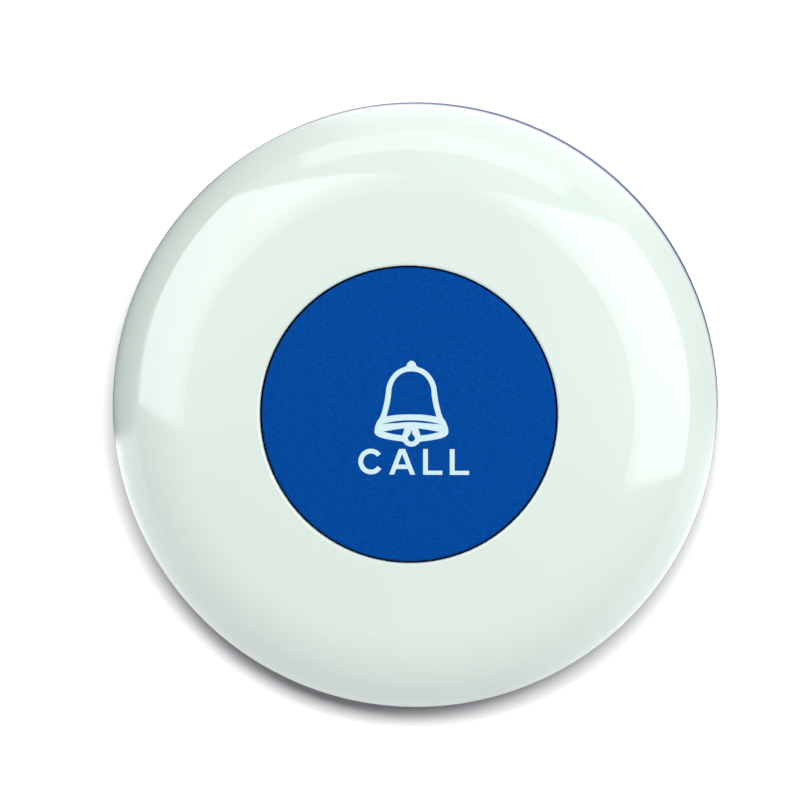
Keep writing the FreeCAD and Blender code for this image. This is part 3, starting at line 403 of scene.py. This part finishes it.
case_screw_mm = {
    "Head Radius": 2.3, "Head Height": 1.7, "Shank Radius": 1.3, "Length": 8.0, "Pitch": 0.9,
    "Thread Depth": 0.28, "Slot Width": 0.6, "Slot Reach": 2.4, "Slot Depth": 0.8, "Seat": 2.6,
    "Ring Radius": 23.0, "First Angle": math.radians(60), "Count": 3, "Seed": 4,
    "Material": nickel_screw,
}
board_screw_mm = {
    "Head Radius": 1.8, "Head Height": 1.1, "Shank Radius": 0.9, "Length": 5.0, "Pitch": 0.7,
    "Thread Depth": 0.2, "Slot Width": 0.45, "Slot Reach": 1.8, "Slot Depth": 0.55, "Seat": 6.4,
    "Ring Radius": 19.5, "First Angle": math.radians(90), "Count": 2, "Seed": 9,
    "Material": zinc_screw,
}
pan_head_screws = screw_tree()
for kind, sizes in (("case", case_screw_mm), ("board", board_screw_mm)):
    name = kind + "_pan_heads"
    mesh = made_by(pan_head_screws, name, sizes)
    screws = new_piece(name, mesh, None, "housing")
    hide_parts(kind + "_screws")


# Coin cell, its contact and its spring clip: a nickel plated steel can with a drawn lid, a tinned
# pad on the board, and a clip stamped and folded from nickel plated spring steel.

# Drawing leaves long fine marks under the plating, which pull its gloss out one way.
can_steel = new_material(
    "nickel plated steel, deep drawn", "#C6C7C5", {"Roughness": 0.24, "Metallic": 1.0},
    {"size_mm": 0.25, "detail": 4, "stretch": (1, 14, 1), "roughness": (0.18, 0.34)},
)
dress("coin_cell", can_steel)

# Hot air leaves the tin in low, soft waves.
contact_tin = new_material(
    "tinned copper, hot air levelled", "#D0CEC8", {"Roughness": 0.3, "Metallic": 1.0},
    {"size_mm": 1.5, "depth_mm": 0.02},
)
dress("cell_contact", contact_tin)

# Rolled strip keeps the lines of its rolls, so the clip's gloss is drawn out along them.
clip_steel = new_material(
    "nickel plated spring steel, stamped", "#CDC9BD", {"Roughness": 0.2, "Metallic": 1.0},
    {"size_mm": 0.2, "detail": 4, "stretch": (18, 1, 1), "roughness": (0.14, 0.3)},
)
dress("cell_clip", clip_steel)


# Circuit board: routed glass fibre laminate under green solder mask. The mask was flooded on wet,
# so its thickness and with it its tone vary a little. Two screws draw it against the cover's posts.

# The mask gives a satin green with faint clouds, and the weave lifts it slightly.
mask_green = new_material(
    "glass fibre laminate, green solder mask", "#0F5B34", {"Roughness": 0.35},
    {"size_mm": 3.0, "detail": 2, "colours": ("#0C5230", "#14683D")},
    {"size_mm": 0.6, "depth_mm": 0.01},
)
dress("circuit_board", mask_green)


# Push switch: a housing moulded in black glass filled nylon, a stamped stainless plate riveted on
# by four stakes, a stainless snap dome, a nylon stem, and tinned brass leads.

# Glass fibres near the surface make the nylon dull and slightly pitted.
switch_nylon = new_material(
    "glass filled nylon, black, moulded", "#171718", {"Roughness": 0.55},
    {"size_mm": 0.12, "depth_mm": 0.01},
)
dress("switch_housing", switch_nylon)

# Stainless strip with the lines of its rolls.
plate_steel = new_material(
    "stainless steel, stamped", "#C4C5C6", {"Roughness": 0.3, "Metallic": 1.0},
    {"size_mm": 0.1, "detail": 4, "stretch": (20, 1, 1), "roughness": (0.22, 0.38)},
)
dress("switch_plate", plate_steel)

# Pressing stretches the strip to a smoother and brighter face.
dome_steel = new_material(
    "stainless spring steel, pressed", "#CBCBCA", {"Roughness": 0.18, "Metallic": 1.0},
    {"size_mm": 0.2, "detail": 4, "roughness": (0.14, 0.26)},
)
dress("switch_dome", dome_steel)

# Plain nylon is a little glossier than the filled one.
stem_nylon = new_material(
    "nylon, black, moulded", "#1D1D1E", {"Roughness": 0.45}, {"size_mm": 0.15, "depth_mm": 0.006}
)
dress("switch_stem", stem_nylon)

# Tin over brass: warm, bright and slightly uneven.
lead_tin = new_material(
    "tinned brass, stamped", "#CBC8BF", {"Roughness": 0.28, "Metallic": 1.0},
    {"size_mm": 0.2, "detail": 4, "roughness": (0.22, 0.36)},
)
dress("switch_leads", lead_tin)


# Radio parts on the board: the encoder in black moulded epoxy with tinned leads, the resonator in
# ceramic with a gold plated lid, the transistor, the lamp with its clear resin, small resistors and
# capacitors, and a loop of bare copper wire as the antenna.

# Moulded epoxy takes the eroded grain of its mould and looks dull.
chip_epoxy = new_material(
    "moulded epoxy, black", "#1C1C1E", {"Roughness": 0.5}, {"size_mm": 0.08, "depth_mm": 0.008}
)
dress("encoder_chip", chip_epoxy)
dress("rf_transistor", chip_epoxy)

# Tin over copper, brighter where the bending tool pressed it.
chip_tin = new_material(
    "tinned copper leads", "#C8C8C5", {"Roughness": 0.3, "Metallic": 1.0},
    {"size_mm": 0.15, "detail": 4, "roughness": (0.24, 0.38)},
)
dress("encoder_leads", chip_tin)

# A thin gold plate: warm yellow with a soft metal gloss.
gold_lid = new_material(
    "gold plated lid, ceramic tray", "#D8B25A", {"Roughness": 0.25, "Metallic": 1.0},
    {"size_mm": 0.3, "detail": 4, "roughness": (0.2, 0.34)},
)
dress("saw_resonator", gold_lid)

# White nylon throws the lamp's light forward, and looks bright and satin.
lamp_nylon = new_material(
    "white nylon, moulded", "#E8E6DF", {"Roughness": 0.4}, {"size_mm": 0.1, "depth_mm": 0.004}
)
dress("lamp_package", lamp_nylon)

# Cast resin is clear and almost as smooth as glass.
lamp_resin = new_material(
    "clear epoxy resin, cast", "#F4F6F8",
    {"Roughness": 0.08, "IOR": 1.53, "Transmission Weight": 0.9},
    {"size_mm": 0.8, "depth_mm": 0.01},
)
dress("lamp_lens", lamp_resin)

# A glassy black coat, printed and fired.
resistor_glaze = new_material(
    "black glaze on alumina", "#202124", {"Roughness": 0.35},
    {"size_mm": 0.2, "detail": 4, "roughness": (0.28, 0.44)},
)
dress("chip_resistors", resistor_glaze)

# Fired ceramic: dull, tan and faintly speckled.
capacitor_ceramic = new_material(
    "barium titanate ceramic, fired", "#9A7450", {"Roughness": 0.6},
    {"size_mm": 0.2, "detail": 4, "colours": ("#916B49", "#A47D58")},
)
dress("chip_capacitors", capacitor_ceramic)

# Bare drawn copper, bright where it is clean.
copper_wire = new_material(
    "drawn copper wire, bare", "#C47A4C", {"Roughness": 0.3, "Metallic": 1.0},
    {"size_mm": 0.3, "detail": 4, "roughness": (0.24, 0.4)},
)
dress("antenna_wire", copper_wire)


# Cover: the domed shell, moulded in mint white ABS and polished in the mould. The eye gets long
# soft reflections that wave a little, from the slight sink of the plastic over its ribs.

COVER_COLOUR = "#DAE8E0"

cover_gloss = new_material(
    "moulded gloss ABS, mint white", COVER_COLOUR, {"Roughness": 0.09, "IOR": 1.53},
    {"size_mm": 14.0, "detail": 2, "colours": ("#D9E7DF", "#DBE9E1")},
    {"size_mm": 4.0, "detail": 2, "depth_mm": 0.01},
)
dress("top_cover", cover_gloss)


# Push cap: moulded in the same ABS, in blue. Its mould was spark eroded to a fine grain, which
# makes it satin: it keeps one even tone from every side and mirrors almost nothing.

CAP_COLOUR = "#00459A"
CAP_GRAIN_MM = 0.12  # about three times the real grain, so that it shows

cap_satin = new_material(
    "moulded satin ABS, blue", CAP_COLOUR,
    {"Roughness": 0.42, "IOR": 1.53, "Specular IOR Level": 0.015},
    {"size_mm": 0.3, "detail": 4, "colours": ("#003582", "#0054AD")},
    {"size_mm": CAP_GRAIN_MM, "depth_mm": 0.006},
)
dress("button_cap", cap_satin)


# Print on the cap: a hand bell over the word CALL, screened in white ink in one pass. Both are
# drawn here from plain curves and strokes. The ink stands a little proud, and thicker than real
# ink, so that it clears the cap's facets.

INK_COLOUR = "#CAE6ED"
INK_MM = 0.012
INK_CELL_MM = 0.8  # the drawing is cut this fine, so that it follows the crown
INK_CUTS = 8  # on each side of the cap's middle
CAP_RADIUS_MM = 14.4
CAP_RISE_MM = 0.35
BELL_X_MM = 0.3  # the bell stands this far right of the cap's middle
WORD_BASE_MM = -5.84
WORD_TOP_MM = -3.32
STROKE_MM = 0.47
FOOT_MM = 0.4
LEG_MM = STROKE_MM + 0.02  # a leaning stroke looks thinner, so the A's legs are wider
BAR_MM = (0.55, 0.98)  # the A's bar, above the word's base
PEAK_MM = 0.3  # half the flat top of the A
C_DEGREES = (38, 326)  # the C runs from its upper end to its lower one
C_STEPS = 14

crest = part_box("button_cap")[1].z / MM
crown_radius = (CAP_RADIUS_MM**2 + CAP_RISE_MM**2) / (2 * CAP_RISE_MM)


def crown_height(x, y):
    """Height of the cap's crowned top at a place on it, in mm."""
    return crest - crown_radius + math.sqrt(crown_radius**2 - x**2 - y**2)


def print_mesh(name, loops):
    """Fills closed loops, with the inner ones left open, and lays the result on the cap's top."""
    drawing = bpy.data.curves.new(name, "CURVE")
    drawing.dimensions = "2D"
    drawing.fill_mode = "BOTH"
    drawing.resolution_u = 10
    drawing.extrude = INK_MM
    for loop in loops:
        spline = drawing.splines.new("BEZIER")
        spline.bezier_points.add(len(loop) - 1)
        spline.use_cyclic_u = True
        for point, corner in zip(spline.bezier_points, loop):
            x, y = corner[:2]
            point.co = (x, y, 0)
            sharp = len(corner) > 2
            point.handle_left_type = point.handle_right_type = "VECTOR" if sharp else "AUTO"
    drawn = bpy.data.objects.new(name + "_drawing", drawing)
    bpy.context.scene.collection.objects.link(drawn)
    bpy.context.view_layer.update()
    evaluated = drawn.evaluated_get(bpy.context.evaluated_depsgraph_get())
    mesh = bpy.data.meshes.new_from_object(evaluated)
    bpy.data.objects.remove(drawn)
    bpy.data.curves.remove(drawing)
    shape = bmesh.new()
    shape.from_mesh(mesh)
    bmesh.ops.remove_doubles(shape, verts=shape.verts, dist=1e-4)
    for step in range(-INK_CUTS, INK_CUTS + 1):
        for across in ((1, 0, 0), (0, 1, 0)):
            bmesh.ops.bisect_plane(
                shape, geom=shape.verts[:] + shape.edges[:] + shape.faces[:], dist=1e-4,
                plane_co=Vector(across) * step * INK_CELL_MM, plane_no=across
            )
    for vertex in shape.verts:
        x, y, z = vertex.co
        vertex.co = Vector((x, y, crown_height(x, y) + z)) * MM
    bmesh.ops.recalc_face_normals(shape, faces=shape.faces)
    shape.to_mesh(mesh)
    shape.free()
    mesh.name = name
    return mesh


def both_sides(half, shift):
    """Mirrors a right half that runs from top to bottom, with its ends on the axis, to a loop."""
    right = [(x + shift, *rest) for x, *rest in half]
    left = [(shift - x, *rest) for x, *rest in reversed(half) if abs(x) > 1e-6]
    return right + left


# The bell's right half, from top to bottom and from its own axis. A third number marks a sharp
# corner.
bell_half = [
    (0.0, 5.32), (0.36, 5.11), (0.48, 4.84), (0.63, 4.72, 1), (1.32, 4.41), (1.97, 3.76),
    (2.39, 2.88), (2.53, 1.97), (2.69, 1.06), (3.09, -0.25), (3.34, -0.63), (3.6, -1.52),
    (3.56, -1.84), (3.14, -2.15), (2.13, -2.41), (0.86, -2.59, 1), (0.51, -2.93), (0.0, -3.09),
]
window_half = [
    (0.0, 4.27), (0.86, 4.1), (1.52, 3.54), (1.9, 2.73), (2.0, 1.87), (2.16, 0.96),
    (2.45, -0.14, 1), (1.32, 0.02), (0.0, 0.06),
]
slit_half = [(0.0, -0.5), (1.6, -0.61), (2.98, -0.9, 1), (1.6, -0.8), (0.0, -0.69)]
drop_half = [(0.0, -1.42, 1), (0.12, -1.87), (0.35, -2.24), (0.25, -2.5), (0.0, -2.6)]
mouth = [
    (0.66, -1.29, 1), (1.65, -1.43), (2.77, -1.63, 1), (1.8, -1.87), (0.9, -1.99, 1), (0.78, -1.65)
]
bell_halves = (bell_half, window_half, slit_half, drop_half)
bell_loops = [both_sides(half, BELL_X_MM) for half in bell_halves]
bell_loops.append([(BELL_X_MM + x, *rest) for x, *rest in mouth])
bell_loops.append([(BELL_X_MM - x, *rest) for x, *rest in mouth])


def straight(*corners):
    """A loop with every corner sharp."""
    return [(x, y, 1) for x, y in corners]


def letter_c(centre_x, half_width):
    """A round open letter as one stroke bent along an ellipse."""
    middle = (WORD_BASE_MM + WORD_TOP_MM) / 2
    half_height = (WORD_TOP_MM - WORD_BASE_MM) / 2
    outer, inner = [], []
    first, last = C_DEGREES
    for step in range(C_STEPS + 1):
        angle = math.radians(first + (last - first) * step / C_STEPS)
        sharp = (1,) if step in (0, C_STEPS) else ()
        for loop, stroke in ((outer, 0.0), (inner, STROKE_MM)):
            x = centre_x + (half_width - stroke) * math.cos(angle)
            y = middle + (half_height - stroke) * math.sin(angle)
            loop.append((x, y, *sharp))
    return [outer + inner[::-1]]


def letter_a(centre_x, half_width):
    """Two leaning legs with a flat top and a bar between them."""
    base, top = WORD_BASE_MM, WORD_TOP_MM
    bar_low, bar_high = base + BAR_MM[0], base + BAR_MM[1]
    lean = (half_width - PEAK_MM) / (top - base)

    def inner_x(height):
        return half_width - LEG_MM - lean * (height - base)

    hole_top = base + (half_width - LEG_MM) / lean
    outside = straight(
        (centre_x - half_width, base), (centre_x - half_width + LEG_MM, base),
        (centre_x - inner_x(bar_low), bar_low), (centre_x + inner_x(bar_low), bar_low),
        (centre_x + half_width - LEG_MM, base), (centre_x + half_width, base),
        (centre_x + PEAK_MM, top), (centre_x - PEAK_MM, top),
    )
    hole = straight(
        (centre_x - inner_x(bar_high), bar_high), (centre_x + inner_x(bar_high), bar_high),
        (centre_x, hole_top),
    )
    return [outside, hole]


def letter_l(left_x, width):
    """An upright stroke with a foot to the right."""
    base, top = WORD_BASE_MM, WORD_TOP_MM
    return [
        straight(
            (left_x, base), (left_x + width, base), (left_x + width, base + FOOT_MM),
            (left_x + STROKE_MM, base + FOOT_MM), (left_x + STROKE_MM, top), (left_x, top),
        )
    ]


word_loops = letter_c(centre_x=-3.66, half_width=1.235)
word_loops += letter_a(centre_x=-0.61, half_width=1.275)
word_loops += letter_l(left_x=1.44, width=1.88)
word_loops += letter_l(left_x=4.05, width=1.88)

# Screen ink dries to a dull white film, and lets a little of the blue through where it is thin.
ink = new_material(
    "screen ink, white", INK_COLOUR, {"Roughness": 0.38},
    {"size_mm": 0.3, "detail": 4, "colours": ("#C1DEE7", "#D2ECF2")},
    {"size_mm": 0.12, "depth_mm": 0.006},
)
new_piece("printed_bell", print_mesh("printed_bell", bell_loops), ink, "button")
new_piece("printed_word", print_mesh("printed_word", word_loops), ink, "button")


# Stage: a white table in a pale room, seen from above. Tall soft boxes on the left and right and a
# low one behind show only in the gloss, as long soft crescents. One lamp from behind and above
# lights the plastic, and the last lights the table alone and casts the shadow on it.

FLOOR_SIZE = 0.9
FRAME_PIXELS = 800
OUTLINE_PIXELS = 604.8  # width of the button in the picture
CENTRE_PIXELS = (414.5, 406.2)
TILT = math.radians(6.1)
TILT_TOWARDS = math.radians(54.0)  # the camera leans this way off the button's axis
CAMERA_DISTANCE = 0.6
AIM_HEIGHT = 0.005
SENSOR = 36.0
ROOM_SEEN = 1.0
ROOM_FILL = 0.8
TABLE_SEEN = 0.28
TABLE_FILL = 0.16
FOOT_SHADE_MM = (29.8, 32.5)  # painted shade round the foot: to mirror rays the table is black inside this ring, lightens across it, and has its full shade from here outwards
# Painted reflection: how bright the gloss sees the table, by the direction round the button: dark
# on the far left. The camera sees the table in one grey.
PAINTED_REFLECTION_SHADES = (
    (-180, 0.03), (-174, 0.03), (-171, 0.42), (-150, 0.3), (-125, 0.2), (-75, 0.18), (-45, 0.32),
    (-15, 0.38), (0, 0.2), (30, 0.2), (50, 0.36), (100, 0.4), (112, 0.2), (135, 0.05), (180, 0.03)
)


def by_ray(tree, kind, seen, mirrored, filling):
    """Mixes three shaders: for the camera, for mirror rays, and for rays that fill with light."""
    path = add_node(tree, "ShaderNodeLightPath").outputs
    colours = [[v, v, v, 1] if isinstance(v, float) else v for v in (seen, mirrored, filling)]
    shades = [add_node(tree, kind, {"Color": colour}).outputs[0] for colour in colours]
    sharp = ("MAXIMUM", path["Is Glossy Ray"], path["Is Transmission Ray"])
    rest = add_node(tree, "ShaderNodeMixShader", {0: sharp, 1: shades[2], 2: shades[1]})
    both = {0: path["Is Camera Ray"], 1: rest.outputs[0], 2: shades[0]}
    return add_node(tree, "ShaderNodeMixShader", both).outputs[0]


floor_mesh = bpy.data.meshes.new("floor")
half = FLOOR_SIZE / 2
floor_mesh.from_pydata(
    [(-half, -half, 0), (half, -half, 0), (half, half, 0), (-half, half, 0)], [], [(0, 1, 2, 3)]
)
floor = bpy.data.objects.new("floor", floor_mesh)
bpy.context.scene.collection.objects.link(floor)
table = bpy.data.materials.new("white table")
table.use_nodes = True
tree = table.node_tree
tree.nodes.clear()
place = add_node(tree, "ShaderNodeTexCoord").outputs["Object"]
# Painted reflection: this ramp gives mirror rays the table's shade by the direction round the
# button.
round_about = add_node(tree, "ShaderNodeTexGradient", {"Vector": place}, gradient_type="RADIAL")
shades = add_node(tree, "ShaderNodeValToRGB", {"Fac": round_about.outputs["Fac"]})
ramp = shades.color_ramp.elements
for number, (angle, shade) in enumerate(PAINTED_REFLECTION_SHADES):
    stop = ramp[number] if number < 2 else ramp.new(1.0)
    stop.position = angle / 360 + 0.5
    stop.color = (shade, shade, shade, 1)
# Painted shade: to mirror rays the table darkens to black towards the foot of the button.
far = add_node(tree, "ShaderNodeVectorMath", {0: place}, operation="LENGTH").outputs["Value"]
clear = {"Value": far, "From Min": FOOT_SHADE_MM[0] * MM, "From Max": FOOT_SHADE_MM[1] * MM}
clear = add_node(tree, "ShaderNodeMapRange", clear)
mirrored = {0: shades.outputs["Color"], "Scale": clear.outputs["Result"]}
mirrored = add_node(tree, "ShaderNodeVectorMath", mirrored, operation="SCALE").outputs["Vector"]
surface = by_ray(tree, "ShaderNodeBsdfDiffuse", TABLE_SEEN, mirrored, TABLE_FILL)
add_node(tree, "ShaderNodeOutputMaterial", {"Surface": surface})
floor_mesh.materials.append(table)

world = bpy.data.worlds.new("studio")
bpy.context.scene.world = world
world.use_nodes = True
tree = world.node_tree
tree.nodes.clear()
surface = by_ray(tree, "ShaderNodeBackground", ROOM_SEEN, ROOM_SEEN, ROOM_FILL)
add_node(tree, "ShaderNodeOutputWorld", {"Surface": surface})


def soft_box(name, facing, along, width, height, radiance, distance):
    """A rectangular lamp of a given brightness. It stands square to the direction it is seen in.

    The two sizes are pairs of tangents from that direction, across the box and along it.
    """
    out = Vector(facing).normalized()
    along = (Vector(along) - out * out.dot(along)).normalized()
    across = along.cross(out)
    lamp = bpy.data.lights.new(name, "AREA")
    lamp.shape = "RECTANGLE"
    lamp.size = (width[1] - width[0]) * distance
    lamp.size_y = (height[1] - height[0]) * distance
    lamp.energy = radiance * math.pi * lamp.size * lamp.size_y
    middle = out + across * sum(width) / 2 + along * sum(height) / 2
    box = bpy.data.objects.new(name, lamp)
    turn = Matrix((across, along, out)).transposed().to_4x4()
    box.matrix_world = Matrix.Translation(middle * distance) @ turn
    box.visible_camera = False
    bpy.context.scene.collection.objects.link(box)
    return box


def fade_out(box, start):
    """Lets a lamp's light fall off to nothing along it, from a share of its height to its top."""
    box.data.use_nodes = True
    tree = box.data.node_tree
    place = add_node(tree, "ShaderNodeNewGeometry").outputs["Parametric"]
    place = add_node(tree, "ShaderNodeSeparateXYZ", {0: place}).outputs["Y"]
    inputs = {"Value": place, "From Min": start, "From Max": 1.0, "To Min": 1.0, "To Max": 0.0}
    fall = add_node(tree, "ShaderNodeMapRange", inputs, interpolation_type="SMOOTHSTEP")
    tree.links.new(fall.outputs["Result"], tree.nodes["Emission"].inputs["Strength"])


left_box = soft_box(
    "left_box", facing=(-0.773, 0.42, 0.475), along=(0.495, -0.067, 0.866),
    width=(-0.42, 0.58), height=(-0.5, 1.3), radiance=3.0, distance=0.6,
)
right_box = soft_box(
    "right_box", facing=(0.903, 0.217, 0.37), along=(-0.38, 0.004, 0.925),
    width=(-0.6, 0.57), height=(-0.4, 2.0), radiance=3.0, distance=0.6,
)
back_box = soft_box(
    "back_box", facing=(0.14, 0.99, 0.0), along=(0, 0, 1),
    width=(-0.5, 0.75), height=(0.0, 0.55), radiance=1.7, distance=0.8,
)
fade_out(left_box, start=0.5)
fade_out(right_box, start=0.5)
for box in (left_box, right_box, back_box):
    box.visible_diffuse = False  # the room already gives the fill
top_box = soft_box(
    "top_box", facing=(0.42, 0.5, 0.76), along=(0, 0, 1),
    width=(-0.4, 0.4), height=(-0.3, 0.3), radiance=2.6, distance=0.6,
)
top_box.visible_glossy = False
table_box = soft_box(
    "table_box", facing=(0.09, 0.3, 0.95), along=(0, 0, 1),
    width=(-0.3, 0.3), height=(-0.12, 0.12), radiance=93.0, distance=1.25,
)
lit = bpy.data.collections.new("lit by the table box")
lit.objects.link(floor)
table_box.light_linking.receiver_collection = lit

lean = Vector(
    (
        math.sin(TILT) * math.cos(TILT_TOWARDS),
        math.sin(TILT) * math.sin(TILT_TOWARDS),
        math.cos(TILT),
    )
)
pixel = (cad_box[1].x - cad_box[0].x) / OUTLINE_PIXELS  # metres on the button
aim = Vector(
    (
        (FRAME_PIXELS / 2 - CENTRE_PIXELS[0]) * pixel,
        (CENTRE_PIXELS[1] - FRAME_PIXELS / 2) * pixel,
        AIM_HEIGHT,
    )
)
lens = bpy.data.cameras.new("camera")
lens.sensor_width = SENSOR
lens.lens = SENSOR * CAMERA_DISTANCE / (FRAME_PIXELS * pixel)
lens.clip_start = 0.01
camera = bpy.data.objects.new("camera", lens)
bpy.context.scene.collection.objects.link(camera)
right = Vector((0, 1, 0)).cross(lean).normalized()
turn = Matrix((right, lean.cross(right), lean)).transposed().to_4x4()
camera.matrix_world = Matrix.Translation(aim + lean * CAMERA_DISTANCE) @ turn
bpy.context.scene.camera = camera
bpy.context.scene.view_settings.view_transform = "Standard"
